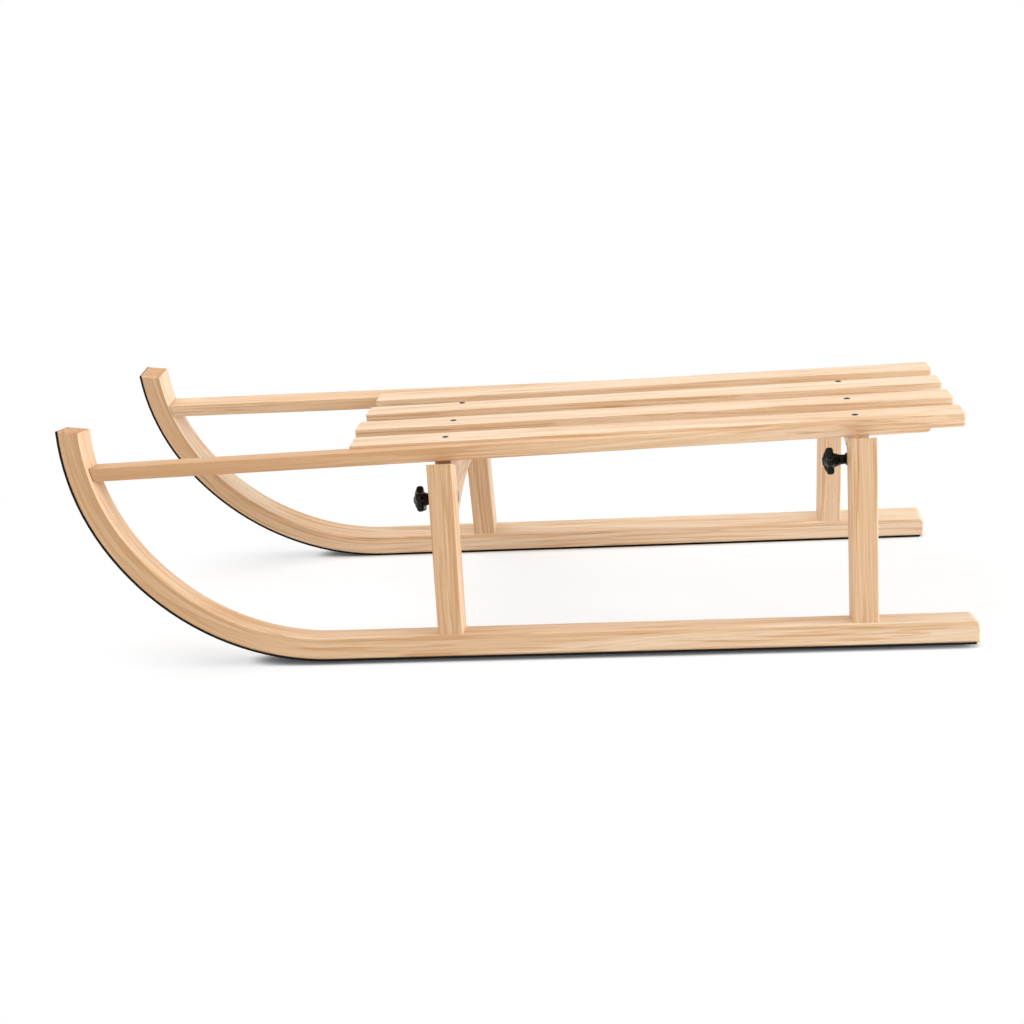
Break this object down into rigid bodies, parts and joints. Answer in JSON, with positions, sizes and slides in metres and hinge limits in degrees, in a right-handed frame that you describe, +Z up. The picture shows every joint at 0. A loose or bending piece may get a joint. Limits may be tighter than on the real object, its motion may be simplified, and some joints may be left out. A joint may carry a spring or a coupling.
{
  "type": "folding wooden sled",
  "caption": "Folding wooden sled with a slatted seat on arched cross boards, bent runners with glide strips, and side frames that fold under on star-knob bolts.",
  "frame": {"origin": "on the floor under the middle of the sled, at the bottom centre of its bounding box", "axes": "+X forward to the runner tips, +Y to the sled's left, +Z up"},
  "size_m": [1, 0.3804, 0.276],
  "materials": {
    "beech": "satin clear lacquer",
    "black_strip": "black-coated steel strip",
    "black_knob": "moulded black plastic",
    "zinc": "black zinc-plated steel"
  },
  "bodies": {
    "seat": {"seat_slats": "beech", "front_cross_board": "beech", "rear_cross_board": "beech", "rail_left": "beech", "rail_right": "beech", "star_knobs": "black_knob", "pivot_bolts": "zinc"},
    "left_frame": {"runner_left": "beech", "glide_strip_left": "black_strip", "front_leg_left": "beech", "rear_leg_left": "beech", "hinge_brackets_left": "zinc"},
    "right_frame": {"runner_right": "beech", "glide_strip_right": "black_strip", "front_leg_right": "beech", "rear_leg_right": "beech", "hinge_brackets_right": "zinc"}
  },
  "joints": [
    {"name": "left_fold", "type": "hinge", "parent": "seat", "child": "left_frame", "pos_m": [-0.38, 0.11804, 0.196], "axis": [-0.9983, 0, 0.0585], "range_deg": [0, 94]},
    {"name": "right_fold", "type": "hinge", "parent": "seat", "child": "right_frame", "pos_m": [-0.38, -0.11804, 0.196], "axis": [0.9983, 0, -0.0585], "range_deg": [0, 45]}
  ]
}
